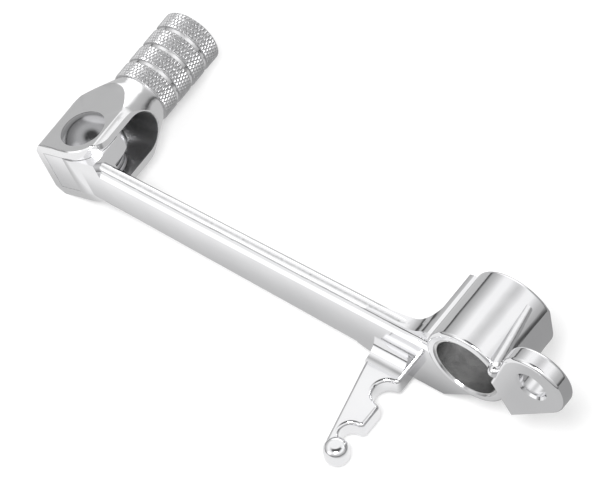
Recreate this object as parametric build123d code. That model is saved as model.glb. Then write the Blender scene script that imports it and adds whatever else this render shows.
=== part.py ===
from build123d import *
import os
from math import cos, hypot, radians, sin, sqrt

# Right-hand rear brake pedal of a motorcycle, in polished metal.
# Frame: the origin is on the axis of the pivot bore, half way along the hub.
# +Y runs along the bore, outboard, the way the toe peg points.
# The arm runs from the hub towards -X, and +Z is up. All sizes are in millimetres.

# Hub and pivot bush
hub_radius = 14.0
hub_length = 26.4
hub_edge = 1.1
hub_mouth = 0.4
bush_bore_radius = 10.5
bush_wall = 1.0
bush_recess = 0.4
bush_seam = 0.3
bush_seam_angle = 118.0
stop_flat_x = 12.0
stop_flat_length = 6.5

# Arm
side_step = 1.2
arm_toe_x = -122.0
arm_root_x = -34.0
crease_z_toe = -4.5
crease_z_root = -3.3
bottom_z_toe = -18.4
bottom_z_root = -21.0
crease_band = 1.0
bead_radius_toe = 1.95
bead_radius_root = 2.3
arm_bulge = 2.2
bottom_round = 1.6
root_web_reach = 2.7
root_web_top = 3.2
root_web_bottom = -12.0
root_web_radius = 7.0

# Toe peg: pin, fork and knurled barrel
toe_x = -141.0
toe_z = -11.2
toe_tilt = 22.0
barrel_offset = 1.05
barrel_radius = 9.5
fork_radius = 14.0
fork_half_height = 10.5
slot_half_height = 7.0
fork_front = 9.6
web_flat = 1.0
web_outer = fork_radius - web_flat
web_thickness = 2.7
web_inner = web_outer - web_thickness
slot_end = 17.4
shoulder_start = 6.0
cone_start = 12.0
shoulder_drop = 0.55
cone_radius = fork_radius - shoulder_drop
neck_radius = 9.1
neck_start = 22.0
neck_length = 0.9
band_pitch = 6.9
band_count = 4
band_groove_width = 0.9
band_groove_depth = 0.6
tip_chamfer = 0.6
fork_edge = 0.35
fold_range = 60.0
fold_gap = 0.4

# Rivet
rivet_radius = 3.5
rivet_clearance = 0.05
rivet_head_radius = 7.05
rivet_head_height = 2.7
rivet_tail_radius = 5.0
rivet_tail_height = 1.1

# Tongue at the toe end of the arm, and the return spring
tongue_gap = 0.1
eye_radius = 10.0
eye_floor = 0.7
spring_wire = 1.5
spring_coil_radius = 6.6
spring_turns = 3
spring_gap = 0.15
spring_leg = 6.0
pocket_gap = 0.9
pocket_open = 2.6

# Rod ear
ear_x = 27.1
ear_z = 15.6
ear_radius = 11.0
ear_thickness = 6.0
ear_proud = 3.3
ear_hole_radius = 4.75
ear_chamfer = 0.7
ear_edge = 1.2
ear_corner_x = 17.6
ear_corner_z = -6.9
ear_root_angle = 27.0
rib_radius = 2.1
rib_height = 2.9
rib_angle = 41.0
rib_tail_radius = 1.3
rib_tail_angle = 52.0
rib_length = 23.5
rib_proud = 0.6
rib_step = 0.1

# Notched spring flange
flange_top_z = -17.0
flange_thickness = 6.0
flange_left_root_x = -35.5
flange_left_end_x = -28.2
flange_right_x = -21.5
flange_end_y = -46.5
flange_knob_radius = 3.9
flange_edge = 1.2
flange_fillet = 5.5
notch_depth = 5.2
notch_lip = 1.5
notch_1_y = -23.7
notch_1_width = 8.6
notch_2_y = -40.7
notch_2_width = 7.0
gusset_low_x = -11.0

# Places that follow from the sizes
hub_front = -hub_length / 2
hub_back = hub_length / 2
hub_bore_radius = bush_bore_radius + bush_wall
side_y = hub_front + side_step
knurl_start = neck_start + neck_length
peg_tip = knurl_start + band_pitch * band_count - band_groove_width
toe_pin = (toe_x, side_y + fork_front, toe_z)
tilt = radians(toe_tilt)
toe_plane = Plane(origin=toe_pin, x_dir=(cos(tilt), 0, sin(tilt)), z_dir=(-sin(tilt), 0, cos(tilt)))
ear_front = hub_front - ear_proud
flange_bottom_z = flange_top_z - flange_thickness


def in_toe(shape):
    """Places a shape drawn about the rivet axis at the toe end of the arm."""
    return toe_plane.location * shape


def upright(radius, low, high, x=0.0, y=0.0):
    """A cylinder along Z between two heights."""
    centre = Location((x, y, (low + high) / 2))
    return centre * Cylinder(radius, high - low)


def along_y(radius, front, back, x=0.0, z=0.0):
    """A cylinder along Y between two stations."""
    centre = Location((x, (front + back) / 2, z), (90, 0, 0))
    return centre * Cylinder(radius, back - front)


def slab(outline, low, high):
    """A flat plate of an outline in X and Y, between two heights."""
    face = make_face(Polyline(*outline, close=True))
    return Location((0, 0, low)) * extrude(face, high - low, dir=(0, 0, 1))


def xz_plate(edges, front, back):
    """A flat plate of an outline in X and Z, between two stations along Y."""
    face = make_face(edges)
    return Location((0, front, 0)) * extrude(face, back - front, dir=(0, 1, 0))


def arm_section(x, crease_z, bottom_z, bead_radius):
    """Section across the arm: flat side, narrow band, round bead, bulged far side."""
    crease_y = side_y + crease_band
    far_y = crease_y + 2 * bead_radius
    middle_z = (crease_z + bottom_z) / 2
    band_foot = (x, side_y, crease_z - crease_band)
    crease = (x, crease_y, crease_z)
    bead_top = (x, crease_y + bead_radius, crease_z + bead_radius)
    bead_foot = (x, far_y, crease_z)
    bulge = (x, far_y + arm_bulge, middle_z)
    far_foot = (x, far_y + arm_bulge * 0.3, bottom_z + bottom_round)
    far_bottom = (x, far_y - bottom_round, bottom_z)
    near_bottom = (x, side_y + bottom_round, bottom_z)
    near_foot = (x, side_y, bottom_z + bottom_round)
    bend = bottom_round * (1 - sqrt(0.5))
    near_corner = (x, side_y + bend, bottom_z + bend)
    return make_face([
        Line(band_foot, crease),
        ThreePointArc(crease, bead_top, bead_foot),
        ThreePointArc(bead_foot, bulge, far_foot),
        Line(far_foot, far_bottom),
        Line(far_bottom, near_bottom),
        ThreePointArc(near_bottom, near_corner, near_foot),
        Line(near_foot, band_foot),
    ])


def arm_line(toe_value, root_value, x):
    """A size of the arm at any station, on the straight line between its two ends."""
    share = (x - arm_toe_x) / (arm_root_x - arm_toe_x)
    return toe_value + (root_value - toe_value) * share


def arm_body():
    """The tapered arm, from inside the tongue to inside the hub."""
    stations = (toe_x - eye_radius * 0.2, -hub_radius * 0.9)
    sections = []
    for x in stations:
        crease_z = arm_line(crease_z_toe, crease_z_root, x)
        bottom_z = arm_line(bottom_z_toe, bottom_z_root, x)
        bead = arm_line(bead_radius_toe, bead_radius_root, x)
        sections.append(arm_section(x, crease_z, bottom_z, bead))
    return loft(sections, ruled=True)


def root_web():
    """The web that spreads the arm's root over the whole length of the hub."""
    web_x = -(hub_radius + root_web_reach)
    far_y = side_y + crease_band + 2 * bead_radius_root
    near_y = side_y + bottom_round
    bend_x = web_x - root_web_radius
    start_x = bend_x - hub_radius
    corner_y = far_y + root_web_radius
    bend = root_web_radius * (1 - sqrt(0.5))
    outline = make_face([
        Line((start_x, far_y - bottom_round), (bend_x, far_y)),
        ThreePointArc((bend_x, far_y), (web_x - bend, far_y + bend), (web_x, corner_y)),
        Line((web_x, corner_y), (web_x, hub_back)),
        Line((web_x, hub_back), (0, hub_back)),
        Line((0, hub_back), (0, near_y)),
        Line((0, near_y), (start_x, near_y)),
        Line((start_x, near_y), (start_x, far_y - bottom_round)),
    ])
    height = root_web_top - root_web_bottom
    web = Location((0, 0, root_web_bottom)) * extrude(outline, height, dir=(0, 0, 1))
    bead_z = crease_z_root + bead_radius_root
    rise = root_web_top - bead_z
    top_line = Spline(
        (start_x, 0, bead_z - rise * 0.1),
        (bend_x - bend, 0, bead_z),
        ((bend_x + web_x) / 2, 0, bead_z + rise * 0.3),
        (web_x, 0, bead_z + rise * 0.84),
        (-hub_radius * 0.85, 0, root_web_top),
    )
    profile = xz_plate([
        top_line,
        Line((-hub_radius * 0.85, 0, root_web_top), (0, 0, root_web_top)),
        Line((0, 0, root_web_top), (0, 0, root_web_bottom)),
        Line((0, 0, root_web_bottom), (start_x, 0, root_web_bottom)),
        Line((start_x, 0, root_web_bottom), (start_x, 0, bead_z - rise * 0.1)),
    ], hub_front, hub_back)
    return web & profile


def tongue():
    """The flat end of the arm that the toe peg's fork straddles, in the rivet's frame."""
    half = slot_half_height - tongue_gap
    end_x = -(web_inner - tongue_gap)
    eye = upright(eye_radius, -half, half)
    block = slab([(end_x, -fork_front), (eye_radius, -fork_front),
                  (eye_radius, -1.0), (end_x, -1.0)], -half, half)
    return eye + block


def spring_pocket():
    """The room for the spring under the tongue's eye, open to the far side, in the rivet's frame."""
    bottom = -slot_half_height - 1.0
    pocket = upright(spring_coil_radius + spring_wire / 2 + pocket_gap, bottom, eye_floor)
    far_side = slab([(-fork_radius, -pocket_open), (fork_radius, -pocket_open),
                     (fork_radius, fork_radius), (-fork_radius, fork_radius)], bottom, eye_floor)
    return pocket + far_side


def fork_outline_clearance():
    """What the folding fork sweeps below and above the tongue, in the rivet's frame."""
    reach = fork_front + fold_gap
    turn = radians(fold_range)
    slope = (cone_radius - neck_radius) / (neck_start - cone_start)
    widest = hypot(fork_front + barrel_offset, slot_half_height)
    cheek_end = cone_start + (cone_radius - widest) / slope
    neck_x = sqrt(neck_radius ** 2 - slot_half_height ** 2) - barrel_offset + fold_gap
    swept = []
    for x, y in [(reach, 0.0), (reach, cheek_end), (neck_x, neck_start)]:
        swept.append((x * cos(turn) + y * sin(turn), y * cos(turn) - x * sin(turn)))
    outline = [(0, 0)] + swept + [(swept[-1][0], peg_tip), (0, peg_tip)]
    half = slot_half_height - tongue_gap
    height = 2 * fork_half_height
    below = slab(outline, -height, -half) + upright(reach, -height, -half)
    above = upright(reach, half, height)
    return below + above


def spring_flange():
    """The notched flange that the return springs hook on, with its knob and its root."""
    knob_x = (flange_left_end_x + flange_right_x) / 2 + 0.4
    knob_y = flange_end_y
    root_y = side_y + 6.0
    plate = slab([
        (flange_left_root_x, root_y),
        (flange_left_root_x, side_y),
        (flange_left_end_x, knob_y),
        (flange_right_x, knob_y),
        (flange_right_x, root_y),
    ], flange_bottom_z, flange_top_z)
    for middle_y, width in ((notch_1_y, notch_1_width), (notch_2_y, notch_2_width)):
        radius = width / 2
        straight = slab([
            (flange_right_x - notch_depth + radius, middle_y - radius),
            (flange_right_x + 5.0, middle_y - radius),
            (flange_right_x + 5.0, middle_y + radius),
            (flange_right_x - notch_depth + radius, middle_y + radius),
        ], flange_bottom_z - 1.0, flange_top_z + 1.0)
        end = upright(radius, flange_bottom_z - 1.0, flange_top_z + 1.0,
                      flange_right_x - notch_depth + radius, middle_y)
        plate -= straight + end
    knob = upright(flange_knob_radius, flange_bottom_z - 0.6, flange_top_z + 0.6, knob_x, knob_y)
    knob = fillet(knob.edges(), 2.4)
    mouths = plate.edges().filter_by(Axis.Z).filter_by_position(
        Axis.X, flange_right_x - 0.01, flange_right_x + 0.01).filter_by_position(
        Axis.Y, knob_y + 0.1, side_y)
    plate = fillet(mouths, notch_lip)
    rims = plate.edges().filter_by_position(Axis.Y, knob_y + 0.05, root_y - 0.05)
    rims = rims.filter_by_position(Axis.Z, flange_top_z - 0.01, flange_top_z + 0.01) + rims.filter_by_position(
        Axis.Z, flange_bottom_z - 0.01, flange_bottom_z + 0.01)
    plate = fillet(rims, flange_edge)
    return plate + knob


def flange_root():
    """The hollow-faced root that carries the flange on the arm's side, and the gusset to the hub."""
    shelf_z = flange_top_z + flange_fillet
    bend = flange_fillet * (1 - sqrt(0.5))
    hollow = make_face([
        Line((flange_left_root_x, side_y + 2.0, flange_bottom_z + 1.0),
             (flange_left_root_x, side_y - flange_fillet, flange_bottom_z + 1.0)),
        Line((flange_left_root_x, side_y - flange_fillet, flange_bottom_z + 1.0),
             (flange_left_root_x, side_y - flange_fillet, flange_top_z)),
        ThreePointArc((flange_left_root_x, side_y - flange_fillet, flange_top_z),
                      (flange_left_root_x, side_y - bend, flange_top_z + bend),
                      (flange_left_root_x, side_y, shelf_z)),
        Line((flange_left_root_x, side_y, shelf_z), (flange_left_root_x, side_y + 2.0, shelf_z)),
        Line((flange_left_root_x, side_y + 2.0, shelf_z),
             (flange_left_root_x, side_y + 2.0, flange_bottom_z + 1.0)),
    ])
    width = flange_right_x - flange_left_root_x
    root = Location((1.0, 0, 0)) * extrude(hollow, width - 2.0, dir=(1, 0, 0))
    gusset = xz_plate([
        Polyline((flange_left_root_x - 6.0, 0, bottom_z_root + 6.0),
                 (flange_left_root_x - 6.0, 0, bottom_z_root + 1.0),
                 (flange_left_root_x + 4.0, 0, flange_bottom_z),
                 (gusset_low_x, 0, flange_bottom_z),
                 (-3.0, 0, -hub_radius - 3.2),
                 (3.0, 0, -hub_radius + 0.7),
                 (3.0, 0, -hub_radius + 2.0),
                 (-hub_radius, 0, -5.0), close=True),
    ], side_y, side_y + 8.0)
    return root + gusset


def ear_tangent(x, z, side):
    """Where a straight edge from a corner touches the round eye of the rod ear."""
    distance = hypot(ear_x - x, ear_z - z)
    flank = sqrt(distance ** 2 - ear_radius ** 2)
    along = flank / distance
    aside = side * ear_radius / distance
    unit_x = (ear_x - x) / distance
    unit_z = (ear_z - z) / distance
    return (x + flank * (unit_x * along - unit_z * aside), 0, z + flank * (unit_z * along + unit_x * aside))


def rod_ear():
    """The drilled ear for the brake rod, and the tapered rib that ties it to the hub."""
    back = ear_front + ear_thickness
    eye = along_y(ear_radius, ear_front, back, ear_x, ear_z)
    root = radians(ear_root_angle)
    inner = (hub_radius + hub_bore_radius) / 2
    root_x = inner * cos(root)
    root_z = inner * sin(root)
    plate = xz_plate([
        Polyline((root_x, 0, root_z),
                 (ear_corner_x, 0, ear_corner_z),
                 ear_tangent(ear_corner_x, ear_corner_z, -1),
                 (ear_x, 0, ear_z),
                 ear_tangent(root_x, root_z, 1), close=True),
    ], ear_front, back)
    ear = eye + plate
    faces = ear.edges().filter_by_position(Axis.Y, ear_front - 0.01, ear_front + 0.01)
    faces += ear.edges().filter_by_position(Axis.Y, back - 0.01, back + 0.01)
    ear = fillet(faces, ear_edge)
    return ear + ear_rib()


def rib_point(distance, y, angle):
    """A point on the rib's middle plane, at a distance from the pivot axis."""
    return Vector(distance * cos(radians(angle)), y, distance * sin(radians(angle)))


def rib_section(foot, crest, radius):
    """A section of the rib with round edges, from its foot in the hub to its crest."""
    rise = crest - foot
    across = Vector(0, 1, 0).cross(foot)
    place = Plane(origin=foot + rise / 2, x_dir=rise, z_dir=across.cross(rise))
    return place * SlotCenterToCenter(rise.length, 2 * radius)


def ear_rib():
    """The rib that ties the ear to the hub: it has a round nose and tapers to nothing at the far end."""
    nose_y = ear_front + rib_radius - rib_proud
    nose = rib_point(hub_radius + rib_height, nose_y, rib_angle)
    foot = rib_point(hub_radius, hub_front + rib_radius, rib_angle)
    tail_y = nose_y + rib_length
    tail_crest = rib_point(hub_radius - rib_tail_radius / 2, tail_y, rib_tail_angle)
    tail_foot = rib_point(hub_radius - rib_tail_radius, tail_y, rib_tail_angle)
    front = rib_section(foot, nose, rib_radius - rib_step)
    rear = rib_section(tail_foot, tail_crest, rib_tail_radius)
    rise = nose - foot
    edge = Plane(origin=foot + rise / 2, z_dir=rise) * Cylinder(rib_radius, rise.length)
    return loft([front, rear], ruled=True) + edge + Location(nose) * Sphere(rib_radius)


def ear_hole():
    """The drilled hole of the rod ear, chamfered at both ends."""
    back = ear_front + ear_thickness
    hole = along_y(ear_hole_radius, ear_front - 1.0, back + 1.0, ear_x, ear_z)
    outer = ear_hole_radius + ear_chamfer
    front_cone = Location((ear_x, ear_front + ear_chamfer / 2, ear_z), (90, 0, 0)) * Cone(
        ear_hole_radius, outer, ear_chamfer)
    back_cone = Location((ear_x, back - ear_chamfer / 2, ear_z), (-90, 0, 0)) * Cone(
        ear_hole_radius, outer, ear_chamfer)
    return hole + front_cone + back_cone


def pedal_arm():
    """The forging: hub, arm, tongue, rod ear, spring flange and gusset in one piece."""
    hub = along_y(hub_radius, hub_front, hub_back)
    hub = fillet(hub.edges(), hub_edge)
    body = arm_body() + root_web()
    body += in_toe(tongue())
    body -= in_toe(fork_outline_clearance() + spring_pocket())
    end_x = -(web_inner - tongue_gap)
    far = 2 * fork_radius
    beyond = slab([(end_x - far, -far), (end_x, -far), (end_x, far), (end_x - far, far)], -far, far)
    body -= in_toe(beyond)
    body += hub + spring_flange() + flange_root() + rod_ear()
    body -= along_y(hub_bore_radius, ear_front - 1.0, hub_back + 1.0)
    for end, turn in ((hub_front, 90), (hub_back, -90)):
        mouth = Location((0, end, 0), (turn, 0, 0)) * Cone(
            hub_bore_radius - hub_mouth, hub_bore_radius + hub_mouth, 2 * hub_mouth)
        body -= mouth
    body -= ear_hole()
    flat = Location((stop_flat_x + 5.0, hub_back - stop_flat_length / 2 + 0.5, 0))
    body -= flat * Box(10.0, stop_flat_length + 1.0, 2.2 * hub_radius)
    body -= in_toe(upright(rivet_radius + rivet_clearance, -fork_radius, fork_radius))
    return body


def pivot_bush():
    """The wrapped bush pressed into the hub, with the seam where its strip meets."""
    front = hub_front + bush_recess
    back = hub_back - bush_recess
    bush = along_y(hub_bore_radius, front, back) - along_y(bush_bore_radius, front - 1, back + 1)
    middle = bush_bore_radius + bush_wall / 2
    angle = radians(bush_seam_angle)
    place = Location((middle * cos(angle), 0, middle * sin(angle)), (0, -bush_seam_angle, 0))
    return bush - place * Box(bush_wall + 1.0, hub_length, bush_seam)


def fork_body():
    """The turned blank of the toe peg: fork end, conical shoulder, neck and grooved barrel."""
    bend = (cone_radius - neck_radius) / (neck_start - cone_start)
    profile = [
        Line((0, -fork_front), (fork_radius, -fork_front)),
        Line((fork_radius, -fork_front), (fork_radius, shoulder_start)),
        Spline((fork_radius, shoulder_start), (cone_radius, cone_start), tangents=((0, 1), (-bend, 1))),
        Line((cone_radius, cone_start), (neck_radius, neck_start)),
        Line((neck_radius, neck_start), (neck_radius, knurl_start)),
        Line((neck_radius, knurl_start), (barrel_radius, knurl_start)),
    ]
    low = barrel_radius - band_groove_depth
    for band in range(band_count - 1):
        start = knurl_start + band * band_pitch
        end = start + band_pitch - band_groove_width
        profile.append(Line((barrel_radius, start), (barrel_radius, end)))
        profile.append(Line((barrel_radius, end), (low, end)))
        profile.append(Line((low, end), (low, start + band_pitch)))
        profile.append(Line((low, start + band_pitch), (barrel_radius, start + band_pitch)))
    last = peg_tip - band_pitch + band_groove_width
    profile.append(Line((barrel_radius, last), (barrel_radius, peg_tip - tip_chamfer)))
    profile.append(Line((barrel_radius, peg_tip - tip_chamfer), (barrel_radius - tip_chamfer, peg_tip)))
    profile.append(Line((barrel_radius - tip_chamfer, peg_tip), (0, peg_tip)))
    profile.append(Line((0, peg_tip), (0, -fork_front)))
    blank = revolve(make_face(profile), Axis.Y)
    return Location((-barrel_offset, 0, 0)) * blank


def toe_peg():
    """The folding peg: the turned blank with its flats, slot and rounded ears cut."""
    far = 2 * peg_tip
    peg = fork_body()
    ears = slab([(-web_outer, -fork_front), (0, -fork_front), (fork_front, 0), (fork_front, far),
                 (-web_outer, far)], -fork_half_height, fork_half_height)
    ears += upright(fork_front, -fork_half_height, fork_half_height)
    peg &= ears
    flats = peg.faces().filter_by(Axis.Z)
    peg = chamfer(flats.edges(), fork_edge)
    slot = slab([(-web_inner, -far), (far, -far), (far, slot_end - slot_half_height),
                 (-web_inner, slot_end - slot_half_height)], -slot_half_height, slot_half_height)
    end_place = Location(((far - web_inner) / 2, slot_end - slot_half_height, 0), (0, 90, 0))
    slot += end_place * Cylinder(slot_half_height, far + web_inner)
    peg -= slot
    peg -= upright(rivet_radius, -fork_radius, fork_radius)
    return in_toe(peg)


def domed(radius, height):
    """A shallow dome, flat side on the XY plane and its axis on Z."""
    ball = (radius ** 2 + height ** 2) / (2 * height)
    cap = Location((0, 0, height - ball)) * Sphere(ball)
    return cap & (Location((0, 0, height / 2)) * Cylinder(radius, height))


def peg_rivet():
    """The rivet: domed head, plain shank and low peened tail."""
    shank = upright(rivet_radius, -fork_half_height - 0.1, fork_half_height + 0.1)
    head = Location((0, 0, fork_half_height)) * domed(rivet_head_radius, rivet_head_height)
    tail = Location((0, 0, -fork_half_height), (180, 0, 0)) * domed(rivet_tail_radius, rivet_tail_height)
    return in_toe(shank + head + tail)


def peg_spring():
    """The return spring: close coils round the rivet, one leg for the fork and one for the arm."""
    turns = spring_turns + 0.5
    low = -slot_half_height + spring_gap + spring_wire / 2
    high = eye_floor - spring_gap - spring_wire / 2
    coil = Location((0, 0, low), (0, 0, 180)) * Helix((high - low) / turns, high - low, spring_coil_radius)
    section = Plane(origin=coil @ 0, z_dir=coil % 0) * Circle(spring_wire / 2)
    spring = sweep(section, path=coil, is_frenet=True)
    for x, z in ((-spring_coil_radius, low), (spring_coil_radius, high)):
        place = Location((x, spring_leg / 2, z), (90, 0, 0))
        spring += place * Cylinder(spring_wire / 2, spring_leg)
    return in_toe(spring)


os.makedirs("parts", exist_ok=True)
export_step(pedal_arm(), "parts/pedal_arm.step")
export_step(pivot_bush(), "parts/pivot_bush.step")
export_step(toe_peg(), "parts/toe_peg.step")
export_step(peg_rivet(), "parts/peg_rivet.step")
export_step(peg_spring(), "parts/peg_spring.step")
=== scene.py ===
import math

import bmesh
import bpy
from mathutils import Matrix, Vector


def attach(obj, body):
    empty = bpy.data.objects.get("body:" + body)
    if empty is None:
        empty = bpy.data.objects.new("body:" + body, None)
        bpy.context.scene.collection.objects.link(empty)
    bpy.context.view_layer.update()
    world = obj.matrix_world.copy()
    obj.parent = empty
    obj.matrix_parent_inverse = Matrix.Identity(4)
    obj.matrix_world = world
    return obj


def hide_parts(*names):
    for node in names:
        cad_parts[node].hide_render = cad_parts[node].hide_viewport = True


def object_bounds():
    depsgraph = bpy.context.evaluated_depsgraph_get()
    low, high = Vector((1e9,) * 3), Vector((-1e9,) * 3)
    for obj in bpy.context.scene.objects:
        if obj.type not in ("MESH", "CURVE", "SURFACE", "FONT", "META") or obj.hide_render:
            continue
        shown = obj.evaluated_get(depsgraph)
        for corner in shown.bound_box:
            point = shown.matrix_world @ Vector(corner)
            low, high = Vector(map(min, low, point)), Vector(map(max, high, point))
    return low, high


# The brake pedal as it is put together: forged arm, pivot bush, folding toe peg, rivet and spring,
# then the white table that it lies on, the room, the camera and the lamp. Everything is in metres.
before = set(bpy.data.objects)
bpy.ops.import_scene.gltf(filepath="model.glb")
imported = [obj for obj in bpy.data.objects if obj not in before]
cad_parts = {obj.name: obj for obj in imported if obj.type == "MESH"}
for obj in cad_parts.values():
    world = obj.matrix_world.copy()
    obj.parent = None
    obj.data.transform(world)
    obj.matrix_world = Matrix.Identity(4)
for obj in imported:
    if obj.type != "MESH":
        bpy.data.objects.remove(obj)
cad_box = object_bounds()
scene = bpy.context.scene

# The arm is one aluminium alloy forging, ground along its length and then buffed on a soft wheel.
# Buffing leaves a bright skin with shallow waves a few millimetres across, a faint grain that runs
# with the arm, and slightly cloudier patches where the wheel did not reach.
arm_colours = ("#efeff0", "#e4e4e6")
arm_wave_mm = 9.09
arm_grain_mm = 0.385
arm_grain_stretch = 0.06
arm_cloud_mm = 16.7
# A Mix node gives its number and colour sockets the same names, so the colour ones go by their place.
first_colour = 6
second_colour = 7
mixed_colour = 2


def linear(code):
    """A colour written as sRGB hex, as the linear values that the shaders take."""
    parts = [int(code[i:i + 2], 16) / 255 for i in (1, 3, 5)]
    return [p / 12.92 if p <= 0.04045 else ((p + 0.055) / 1.055) ** 2.4 for p in parts] + [1.0]


def repeats(millimetres):
    """The scale that makes a pattern's cells this many millimetres wide on a piece in metres."""
    return 1000.0 / millimetres


def fill(tree, node, sockets):
    """Each socket takes a value, or is linked to an output or to the first output of a node."""
    for name, value in sockets.items():
        if isinstance(value, bpy.types.Node):
            value = value.outputs[0]
        if isinstance(value, bpy.types.NodeSocket):
            tree.links.new(value, node.inputs[name])
        else:
            node.inputs[name].default_value = value


def add(tree, kind, settings=None, sockets=None):
    """One node with its settings and its sockets filled."""
    made = tree.nodes.new(kind)
    for name, value in (settings or {}).items():
        setattr(made, name, value)
    fill(tree, made, sockets or {})
    return made


def new_material(name):
    """A material with its tree, its shader and the piece's own coordinates for patterns."""
    material = bpy.data.materials.new(name)
    material.use_nodes = True
    tree = material.node_tree
    place = add(tree, "ShaderNodeTexCoord").outputs["Object"]
    return material, tree, tree.nodes["Principled BSDF"], place


def finish_node(name, metal):
    """Gives a CAD node its metal."""
    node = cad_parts[name]
    if not node.material_slots:
        node.data.materials.append(metal)
    for holder in node.material_slots:
        holder.material = metal


arm_metal, tree, shader, place = new_material("buffed_aluminium")
waves = add(tree, "ShaderNodeTexNoise", sockets={
    "Vector": place, "Scale": repeats(arm_wave_mm), "Detail": 1.0})
along = add(tree, "ShaderNodeMapping", sockets={"Vector": place, "Scale": (arm_grain_stretch, 1.0, 1.0)})
grain = add(tree, "ShaderNodeTexNoise", sockets={
    "Vector": along, "Scale": repeats(arm_grain_mm), "Detail": 3.0})
cloud = add(tree, "ShaderNodeTexNoise", sockets={
    "Vector": place, "Scale": repeats(arm_cloud_mm), "Detail": 4.0})
rough = add(tree, "ShaderNodeMapRange", sockets={
    "Value": cloud, "From Min": 0.3, "From Max": 0.7, "To Min": 0.06, "To Max": 0.13})
tone = add(tree, "ShaderNodeMix", {"data_type": "RGBA"}, {
    "Factor": cloud, first_colour: linear(arm_colours[0]), second_colour: linear(arm_colours[1])})
soft = add(tree, "ShaderNodeBump", sockets={"Height": waves, "Strength": 0.25, "Distance": 0.00025})
fine = add(tree, "ShaderNodeBump", sockets={
    "Height": grain, "Strength": 0.06, "Distance": 0.00004, "Normal": soft})
fill(tree, shader, {
    "Metallic": 1.0, "Base Color": tone.outputs[mixed_colour], "Roughness": rough, "Normal": fine})
finish_node("pedal_arm", arm_metal)

# The bush is a thin steel strip wrapped round and pressed into the hub. Its bore is reamed, so
# fine rings run round it, and the film of oil it was fitted with leaves it darker in patches.
bush_colours = ("#a8a8a8", "#f0f0f0")
ring_mm = 0.417
ring_stretch = 0.15
film_mm = 2.38
bush_metal, tree, shader, place = new_material("reamed_steel")
rings = add(tree, "ShaderNodeMapping", sockets={
    "Vector": place, "Scale": (ring_stretch, 1.0, ring_stretch)})
reamed = add(tree, "ShaderNodeTexNoise", sockets={
    "Vector": rings, "Scale": repeats(ring_mm), "Detail": 3.0})
film = add(tree, "ShaderNodeTexNoise", sockets={"Vector": place, "Scale": repeats(film_mm), "Detail": 5.0})
tone = add(tree, "ShaderNodeMix", {"data_type": "RGBA"}, {
    "Factor": film, first_colour: linear(bush_colours[0]), second_colour: linear(bush_colours[1])})
cut = add(tree, "ShaderNodeBump", sockets={"Height": reamed, "Strength": 0.35, "Distance": 0.00006})
fill(tree, shader, {
    "Metallic": 1.0, "Base Color": tone.outputs[mixed_colour], "Roughness": 0.27, "Normal": cut})
finish_node("pivot_bush", bush_metal)

# The toe peg is turned from aluminium bar, then its cheeks are milled flat and polished like the
# arm. Its slot is left as the milling cutter made it, so it is duller inside than out. The peg's
# own frame has its origin on the rivet, with the barrel along Y and the rivet along Z.
pin = Vector((-0.141, -0.0024, -0.0112))
tilt = math.radians(22.0)
peg_place = Matrix.Translation(pin) @ Matrix.Rotation(-tilt, 4, "Y")
slot_half = 0.007
slot_centre = 0.0104
slot_back = -0.0105
slot_margin = 0.0002
slot_roughness = 0.32
peg_colour = "#ececed"
peg_wave_mm = 7.69
peg_cloud_mm = 3.12
peg_metal, tree, shader, place = new_material("polished_bar_aluminium")
waves = add(tree, "ShaderNodeTexNoise", sockets={
    "Vector": place, "Scale": repeats(peg_wave_mm), "Detail": 1.0})
cloud = add(tree, "ShaderNodeTexNoise", sockets={
    "Vector": place, "Scale": repeats(peg_cloud_mm), "Detail": 4.0})
rough = add(tree, "ShaderNodeMapRange", sockets={
    "Value": cloud, "From Min": 0.3, "From Max": 0.7, "To Min": 0.1, "To Max": 0.17})
in_peg = add(tree, "ShaderNodeMapping", {"vector_type": "TEXTURE"}, {
    "Vector": place, "Location": pin, "Rotation": (0.0, -tilt, 0.0)})
at = add(tree, "ShaderNodeSeparateXYZ", sockets={"Vector": in_peg}).outputs
past_centre = add(tree, "ShaderNodeMath", {"operation": "SUBTRACT", "use_clamp": True}, {
    0: at["Y"], 1: slot_centre})
from_centre = add(tree, "ShaderNodeCombineXYZ", sockets={"Y": past_centre, "Z": at["Z"]})
away = add(tree, "ShaderNodeVectorMath", {"operation": "LENGTH"}, {0: from_centre}).outputs["Value"]
in_slot = add(tree, "ShaderNodeMath", {"operation": "LESS_THAN"}, {0: away, 1: slot_half + slot_margin})
before_web = add(tree, "ShaderNodeMath", {"operation": "GREATER_THAN"}, {0: at["X"], 1: slot_back})
milled = add(tree, "ShaderNodeMath", {"operation": "MULTIPLY"}, {0: in_slot, 1: before_web})
finish = add(tree, "ShaderNodeMapRange", sockets={"Value": milled, "To Min": rough, "To Max": slot_roughness})
soft = add(tree, "ShaderNodeBump", sockets={"Height": waves, "Strength": 0.2, "Distance": 0.0002})
fill(tree, shader, {
    "Metallic": 1.0, "Base Color": linear(peg_colour), "Roughness": finish, "Normal": soft})

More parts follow.
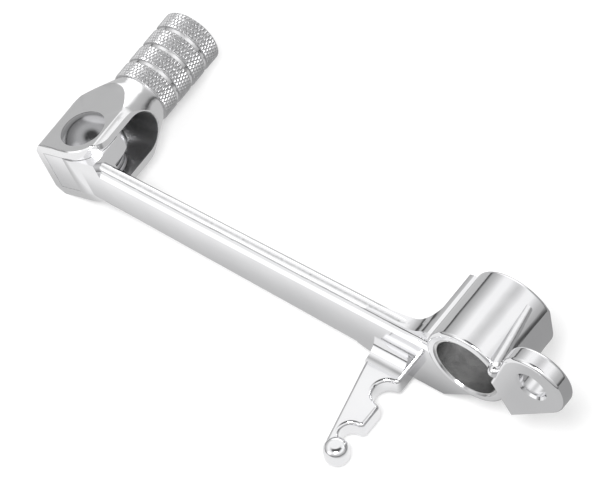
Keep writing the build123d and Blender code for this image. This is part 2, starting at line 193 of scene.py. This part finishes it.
# The fork is the CAD peg with its barrel turned down to the core that carries the knurled bands.
# Its flats and rounds keep sharp borders, and its normals are weighed so that the flats stay flat.
barrel_offset = 0.00105
core_radius = 0.0089
knurl_start = 0.0229
weld = 0.000001
slack = 0.00001
sharp_edge = math.radians(20)
fork_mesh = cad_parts["toe_peg"].data.copy()
fork_mesh.name = "toe_peg_fork"
shape = bmesh.new()
shape.from_mesh(fork_mesh)
bmesh.ops.remove_doubles(shape, verts=shape.verts, dist=weld)
to_peg = peg_place.inverted()
for vert in shape.verts:
    spot = to_peg @ vert.co
    out = math.hypot(spot.x + barrel_offset, spot.z)
    if spot.y > knurl_start - slack and out > core_radius:
        spot.x = (spot.x + barrel_offset) * core_radius / out - barrel_offset
        spot.z = spot.z * core_radius / out
        vert.co = peg_place @ spot
bmesh.ops.dissolve_degenerate(shape, edges=shape.edges, dist=weld)
for face in shape.faces:
    face.smooth = True
shape.to_mesh(fork_mesh)
shape.free()
fork_mesh.set_sharp_from_angle(angle=sharp_edge)
fork_mesh.materials.clear()
fork_mesh.materials.append(peg_metal)
toe_fork = bpy.data.objects.new("toe_peg_fork", fork_mesh)
scene.collection.objects.link(toe_fork)
evener = toe_fork.modifiers.new("even_normals", "WEIGHTED_NORMAL")
evener.keep_sharp = True
even_fork = toe_fork.evaluated_get(bpy.context.evaluated_depsgraph_get())
toe_fork.data = bpy.data.meshes.new_from_object(even_fork)
toe_fork.modifiers.clear()

# The barrel is knurled: wheels pressed two families of crossing grooves into it, which leave rows
# of small flat-topped pyramids, and turned grooves part it into four bands. The wheels leave it
# duller than the fork. The tree below wraps a grid round the barrel for one band and repeats it.
barrel_colours = ("#b0b0b1", "#d8d8d9")
burr_mm = 0.333
barrel_radius = 0.0095
band_pitch = 0.0069
band_length = 0.006
band_count = 4
knurl_depth = 0.00033
knurl_teeth = 48
steps_a_tooth = 12
knurl_rows = 31
tooth_turn = math.radians(30.0)
tooth_lead = 2 * math.pi * barrel_radius / knurl_teeth / math.tan(tooth_turn)
groove_floor = 0.03
groove_lip = 0.36
end_slope = 2.4
end_sink = 0.0002
past_end = 1.001
seam = 0.0000001
barrel_metal, tree, shader, place = new_material("knurled_bar_aluminium")
burr = add(tree, "ShaderNodeTexNoise", sockets={"Vector": place, "Scale": repeats(burr_mm), "Detail": 2.0})
tone = add(tree, "ShaderNodeMix", {"data_type": "RGBA"}, {
    "Factor": burr, first_colour: linear(barrel_colours[0]), second_colour: linear(barrel_colours[1])})
fill(tree, shader, {"Metallic": 1.0, "Base Color": tone.outputs[mixed_colour], "Roughness": 0.34})

knurl = bpy.data.node_groups.new("knurled_bands", "GeometryNodeTree")
knurl.interface.new_socket("Geometry", in_out="INPUT", socket_type="NodeSocketGeometry")
lengths = {"Radius": barrel_radius, "Core": core_radius, "Length": band_length, "Pitch": band_pitch,
           "Depth": knurl_depth, "Start": knurl_start, "Lead": tooth_lead, "Offset": barrel_offset}
counts = {"Teeth": knurl_teeth, "Bands": band_count, "Around": knurl_teeth * steps_a_tooth,
          "Rows": knurl_rows}
for kind, inputs in (("NodeSocketFloat", lengths), ("NodeSocketInt", counts)):
    for label, value in inputs.items():
        knurl.interface.new_socket(label, in_out="INPUT", socket_type=kind).default_value = value
metal_socket = knurl.interface.new_socket("Metal", in_out="INPUT", socket_type="NodeSocketMaterial")
knurl.interface.new_socket("Geometry", in_out="OUTPUT", socket_type="NodeSocketGeometry")
given = add(knurl, "NodeGroupInput").outputs

# The grid has one row more than the band is given, and the last row goes back to the first, which
# closes the sleeve on its inside.
around = add(knurl, "ShaderNodeMath", {"operation": "ADD"}, {0: given["Around"], 1: 1.0})
rows = add(knurl, "ShaderNodeMath", {"operation": "ADD"}, {0: given["Rows"], 1: 1.0})
sheet = add(knurl, "GeometryNodeMeshGrid", sockets={"Vertices X": around, "Vertices Y": rows}).outputs
wrap = add(knurl, "ShaderNodeSeparateXYZ", sockets={"Vector": sheet["UV Map"]}).outputs
last_row = add(knurl, "ShaderNodeMath", {"operation": "SUBTRACT"}, {0: given["Rows"], 1: 1.0})
row = add(knurl, "ShaderNodeMath", {"operation": "MULTIPLY"}, {0: wrap["Y"], 1: given["Rows"]})
step = add(knurl, "ShaderNodeMath", {"operation": "DIVIDE"}, {0: row, 1: last_row})
is_band = add(knurl, "ShaderNodeMath", {"operation": "LESS_THAN"}, {0: step, 1: past_end})
share = add(knurl, "ShaderNodeMath", {"operation": "MULTIPLY"}, {0: step, 1: is_band})
length = add(knurl, "ShaderNodeMath", {"operation": "MULTIPLY"}, {0: share, 1: given["Length"]})

# The two families of grooves climb opposite ways. Each cuts deepest half way between two teeth.
turns = add(knurl, "ShaderNodeMath", {"operation": "MULTIPLY"}, {0: wrap["X"], 1: given["Teeth"]})
climb = add(knurl, "ShaderNodeMath", {"operation": "DIVIDE"}, {0: length, 1: given["Lead"]})
families = []
for way_round in ("ADD", "SUBTRACT"):
    shifted = add(knurl, "ShaderNodeMath", {"operation": way_round}, {0: turns, 1: climb})
    part = add(knurl, "ShaderNodeMath", {"operation": "FRACT"}, {0: shifted})
    centred = add(knurl, "ShaderNodeMath", {"operation": "SUBTRACT"}, {0: part, 1: 0.5})
    families.append(add(knurl, "ShaderNodeMath", {"operation": "ABSOLUTE"}, {0: centred}))
nearest = add(knurl, "ShaderNodeMath", {"operation": "MINIMUM"}, {0: families[0], 1: families[1]})
cut = add(knurl, "ShaderNodeMapRange", sockets={
    "Value": nearest, "From Min": groove_floor, "From Max": groove_lip,
    "To Min": given["Depth"], "To Max": 0.0})
skin = add(knurl, "ShaderNodeMath", {"operation": "SUBTRACT"}, {0: given["Radius"], 1: cut})

# Both ends of a band slope down to just under the core.
to_end = add(knurl, "ShaderNodeMath", {"operation": "SUBTRACT"}, {0: given["Length"], 1: length})
edge = add(knurl, "ShaderNodeMath", {"operation": "MINIMUM"}, {0: length, 1: to_end})
sunk = add(knurl, "ShaderNodeMath", {"operation": "SUBTRACT"}, {0: given["Core"], 1: end_sink})
slope = add(knurl, "ShaderNodeMath", {"operation": "MULTIPLY_ADD"}, {0: edge, 1: end_slope, 2: sunk})
reach = add(knurl, "ShaderNodeMath", {"operation": "MINIMUM"}, {0: skin, 1: slope})

# The grid's X goes round the barrel and its Y along it.
angle = add(knurl, "ShaderNodeMath", {"operation": "MULTIPLY"}, {0: wrap["X"], 1: 2 * math.pi})
sine = add(knurl, "ShaderNodeMath", {"operation": "SINE"}, {0: angle})
cosine = add(knurl, "ShaderNodeMath", {"operation": "COSINE"}, {0: angle})
sideways = add(knurl, "ShaderNodeMath", {"operation": "MULTIPLY"}, {0: sine, 1: reach})
across = add(knurl, "ShaderNodeMath", {"operation": "SUBTRACT"}, {0: sideways, 1: given["Offset"]})
high = add(knurl, "ShaderNodeMath", {"operation": "MULTIPLY"}, {0: cosine, 1: reach})
forward = add(knurl, "ShaderNodeMath", {"operation": "ADD"}, {0: length, 1: given["Start"]})
point = add(knurl, "ShaderNodeCombineXYZ", sockets={"X": across, "Y": forward, "Z": high})
sleeve = add(knurl, "GeometryNodeSetPosition", sockets={"Geometry": sheet["Mesh"], "Position": point})
closed = add(knurl, "GeometryNodeMergeByDistance", sockets={"Geometry": sleeve, "Distance": seam})
stride = add(knurl, "ShaderNodeCombineXYZ", sockets={"Y": given["Pitch"]})
spots = add(knurl, "GeometryNodeMeshLine", sockets={"Count": given["Bands"], "Offset": stride})
copies = add(knurl, "GeometryNodeInstanceOnPoints", sockets={"Points": spots, "Instance": closed})
real = add(knurl, "GeometryNodeRealizeInstances", sockets={"Geometry": copies})
dressed = add(knurl, "GeometryNodeSetMaterial", sockets={"Geometry": real, "Material": given["Metal"]})
add(knurl, "NodeGroupOutput", sockets={"Geometry": dressed})

holder = bpy.data.objects.new("knurl_maker", bpy.data.meshes.new("knurl_maker"))
scene.collection.objects.link(holder)
maker = holder.modifiers.new("knurled_bands", "NODES")
maker.node_group = knurl
maker[metal_socket.identifier] = barrel_metal
ready = holder.evaluated_get(bpy.context.evaluated_depsgraph_get())
band_mesh = bpy.data.meshes.new_from_object(ready)
band_mesh.name = "toe_peg_knurl"
bpy.data.objects.remove(holder)
band_mesh.transform(peg_place)
shape = bmesh.new()
shape.from_mesh(band_mesh)
bmesh.ops.recalc_face_normals(shape, faces=shape.faces)
shape.to_mesh(band_mesh)
shape.free()
knurled = bpy.data.objects.new("toe_peg_knurl", band_mesh)
scene.collection.objects.link(knurled)
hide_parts("toe_peg")
for piece in (toe_fork, knurled):
    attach(piece, "folding_peg")

# The rivet is mild steel. Its head was formed by a cup-shaped tool and polished with the peg, so
# it mirrors more of the room than the flats around it, and fine scuffs blur it unevenly.
rivet_colour = "#9a9a9c"
scuff_mm = 1.11
rivet_metal, tree, shader, place = new_material("cold_headed_steel")
scuffs = add(tree, "ShaderNodeTexNoise", sockets={
    "Vector": place, "Scale": repeats(scuff_mm), "Detail": 4.0})
rough = add(tree, "ShaderNodeMapRange", sockets={"Value": scuffs, "To Min": 0.1, "To Max": 0.24})
fill(tree, shader, {"Metallic": 1.0, "Base Color": linear(rivet_colour), "Roughness": rough})
finish_node("peg_rivet", rivet_metal)

# The spring is hard-drawn wire, wound round the rivet in the fork's slot. It is dull grey, with
# small patches of tone left by the drawing soap.
wire_colours = ("#8d8d8f", "#b9b9bb")
wire_patch_mm = 0.667
spring_metal, tree, shader, place = new_material("drawn_spring_wire")
patches = add(tree, "ShaderNodeTexNoise", sockets={
    "Vector": place, "Scale": repeats(wire_patch_mm), "Detail": 3.0})
tone = add(tree, "ShaderNodeMix", {"data_type": "RGBA"}, {
    "Factor": patches, first_colour: linear(wire_colours[0]), second_colour: linear(wire_colours[1])})
fill(tree, shader, {"Metallic": 1.0, "Base Color": tone.outputs[mixed_colour], "Roughness": 0.3})
finish_node("peg_spring", spring_metal)

# The table is plain white board. The camera sees it as white as the page around it, with a soft
# shadow. Glossy rays instead see the table glow with a painted tone, a painted reflection of a darker table:
# painted light in front of the arm and painted shade under the hub paint the greys on the arm's side
# and on the hub's underside.
board_colour = "#e2e2e2"
lowest = cad_box[0][2]
floor_half = 8.0
camera_glow = 0.26
# Painted reflection: the tones that the table glows with for glossy rays only, with painted shade under the
# hub and painted light in front of the arm.
painted_reflection_glow = 0.6
painted_hub_shade_glow = 0.37
painted_front_light = 0.4
front_near = -0.0165
front_far = -0.024
front_lean = 0.02
front_curve = 1.7
gain_left = -0.015
gain_right = 0.004
hub_left = -0.032
hub_right = -0.02
hub_front = -0.0175
hub_back = -0.013
corners = [(-floor_half, -floor_half, lowest), (floor_half, -floor_half, lowest),
           (floor_half, floor_half, lowest), (-floor_half, floor_half, lowest)]
floor_mesh = bpy.data.meshes.new("table")
floor_mesh.from_pydata(corners, [], [(0, 1, 2, 3)])
floor = bpy.data.objects.new("table", floor_mesh)
scene.collection.objects.link(floor)
board, tree, shader, place = new_material("white_board")
seen_by = add(tree, "ShaderNodeLightPath").outputs
spot = add(tree, "ShaderNodeSeparateXYZ", sockets={"Vector": place}).outputs
# Painted light: the table's tone in the metal rises in front of the arm.
beside_arm = add(tree, "ShaderNodeMath", {"operation": "MULTIPLY_ADD"}, {
    0: spot["X"], 1: front_lean, 2: spot["Y"]})
painted_light_mask = add(tree, "ShaderNodeMapRange", sockets={
    "Value": beside_arm, "From Min": front_near, "From Max": front_far})
painted_light_gain = add(tree, "ShaderNodeMapRange", sockets={
    "Value": spot["X"], "From Min": gain_left, "From Max": gain_right, "To Min": painted_front_light, "To Max": 0.0})
# Painted shade: the table's tone in the metal falls under and behind the hub.
painted_shade_across = add(tree, "ShaderNodeMapRange", sockets={
    "Value": spot["X"], "From Min": hub_left, "From Max": hub_right})
painted_hub_shade = add(tree, "ShaderNodeMapRange", sockets={
    "Value": spot["Y"], "From Min": hub_front, "From Max": hub_back,
    "To Min": painted_reflection_glow, "To Max": painted_hub_shade_glow})
painted_shade_tone = add(tree, "ShaderNodeMapRange", sockets={"Value": painted_shade_across, "To Min": painted_reflection_glow, "To Max": painted_hub_shade})
painted_light_rise = add(tree, "ShaderNodeMath", {"operation": "POWER"}, {0: painted_light_mask, 1: front_curve})
painted_table_tone = add(tree, "ShaderNodeMath", {"operation": "MULTIPLY_ADD"}, {0: painted_light_rise, 1: painted_light_gain, 2: painted_shade_tone})
# The painted tone glows for glossy rays only, so it appears in the metal as a painted reflection.
painted_reflection = add(tree, "ShaderNodeMath", {"operation": "MULTIPLY"}, {0: seen_by["Is Glossy Ray"], 1: painted_table_tone})
glow = add(tree, "ShaderNodeMath", {"operation": "MULTIPLY_ADD"}, {
    0: seen_by["Is Camera Ray"], 1: camera_glow, 2: painted_reflection})
plain = add(tree, "ShaderNodeMix", {"data_type": "RGBA"}, {
    "Factor": seen_by["Is Glossy Ray"], first_colour: linear(board_colour), second_colour: (0, 0, 0, 1)})
fill(tree, shader, {
    "Base Color": plain.outputs[mixed_colour], "Roughness": 0.9, "Specular IOR Level": 0.0,
    "Emission Color": (1, 1, 1, 1), "Emission Strength": glow})
floor_mesh.materials.append(board)

# The room is dark where it meets the table, grey on its walls, white above them and dark again
# straight overhead, which draws the dark spot in the rivet and in the knob. Two soft white panels
# light the peg's cone and the edges that face the front. The camera itself sees a white page.
room_tones = ((0.0, "#383838"), (0.07, "#5a5a5a"), (0.16, "#b0b0b0"), (0.34, "#bebebe"), (0.52, "#d8d8d8"),
              (0.7, "#ffffff"), (0.84, "#ffffff"), (0.905, "#dadada"), (0.95, "#585858"))
panels = (((-0.43, 0.88, 0.21), 0.86, 0.93, 0.9), ((-0.41, -0.79, 0.46), 0.92, 0.975, 0.6))
room_strength = 1.1
world = bpy.data.worlds.new("studio")
scene.world = world
world.use_nodes = True
tree = world.node_tree
tree.nodes.clear()
way = add(tree, "ShaderNodeTexCoord").outputs["Generated"]
height = add(tree, "ShaderNodeSeparateXYZ", sockets={"Vector": way}).outputs["Z"]
ramp = add(tree, "ShaderNodeValToRGB", sockets={"Fac": height})
stops = ramp.color_ramp.elements
while len(stops) < len(room_tones):
    stops.new(1.0)
for stop, (level, code) in zip(stops, room_tones):
    stop.position = level
    stop.color = linear(code)
bright = 0.0
for middle, rim, full, strength in panels:
    facing = add(tree, "ShaderNodeVectorMath", {"operation": "DOT_PRODUCT"}, {0: way, 1: middle})
    panel = add(tree, "ShaderNodeMapRange", {"interpolation_type": "SMOOTHSTEP"}, {
        "Value": facing.outputs["Value"], "From Min": rim, "From Max": full, "To Max": strength})
    bright = add(tree, "ShaderNodeMath", {"operation": "ADD"}, {0: bright, 1: panel})
walls = add(tree, "ShaderNodeMix", {"data_type": "RGBA", "blend_type": "ADD"}, {
    "Factor": bright, first_colour: ramp, second_colour: (1, 1, 1, 1)})
room = add(tree, "ShaderNodeBackground", sockets={
    "Color": walls.outputs[mixed_colour], "Strength": room_strength})
page = add(tree, "ShaderNodeBackground", sockets={"Color": (1, 1, 1, 1), "Strength": 1.0})
seen = add(tree, "ShaderNodeLightPath").outputs["Is Camera Ray"]
both = add(tree, "ShaderNodeMixShader", sockets={"Fac": seen, 1: room, 2: page})
add(tree, "ShaderNodeOutputWorld", sockets={"Surface": both})

# The camera looks down on the pedal from the front right, from far off through a long lens,
# because the photo shows hardly any perspective.
right = Vector((0.8107, 0.5781, -0.0926))
up = Vector((-0.4338, 0.6994, 0.5681))
back = right.cross(up).normalized()
up = back.cross(right).normalized()
right = up.cross(back)
aim = Vector((-0.057, -0.0125, 0.0209))
camera_distance = 5.778
camera_data = bpy.data.cameras.new("camera")
camera_data.lens = 1200
camera_data.sensor_width = 36
camera_data.clip_end = 20
camera = bpy.data.objects.new("camera", camera_data)
turn = Matrix((right, up, back)).transposed().to_4x4()
camera.matrix_world = Matrix.Translation(aim + back * camera_distance) @ turn
scene.collection.objects.link(camera)
scene.camera = camera

# One soft lamp hangs above and to the left of the line to the camera, so shadows fall to the
# lower right.
lamp_lift = 0.13
lamp_left = 0.12
lamp_distance = 1.1
lamp_data = bpy.data.lights.new("soft_lamp", "AREA")
lamp_data.shape = "DISK"
lamp_data.size = 0.42
lamp_data.energy = 7.4
lamp = bpy.data.objects.new("soft_lamp", lamp_data)
lamp_way = (back + lamp_lift * up - lamp_left * right).normalized()
lamp_turn = lamp_way.to_track_quat("Z", "Y").to_matrix().to_4x4()
lamp.matrix_world = Matrix.Translation(aim + lamp_way * lamp_distance) @ lamp_turn
scene.collection.objects.link(lamp)

scene.view_settings.view_transform = "Standard"
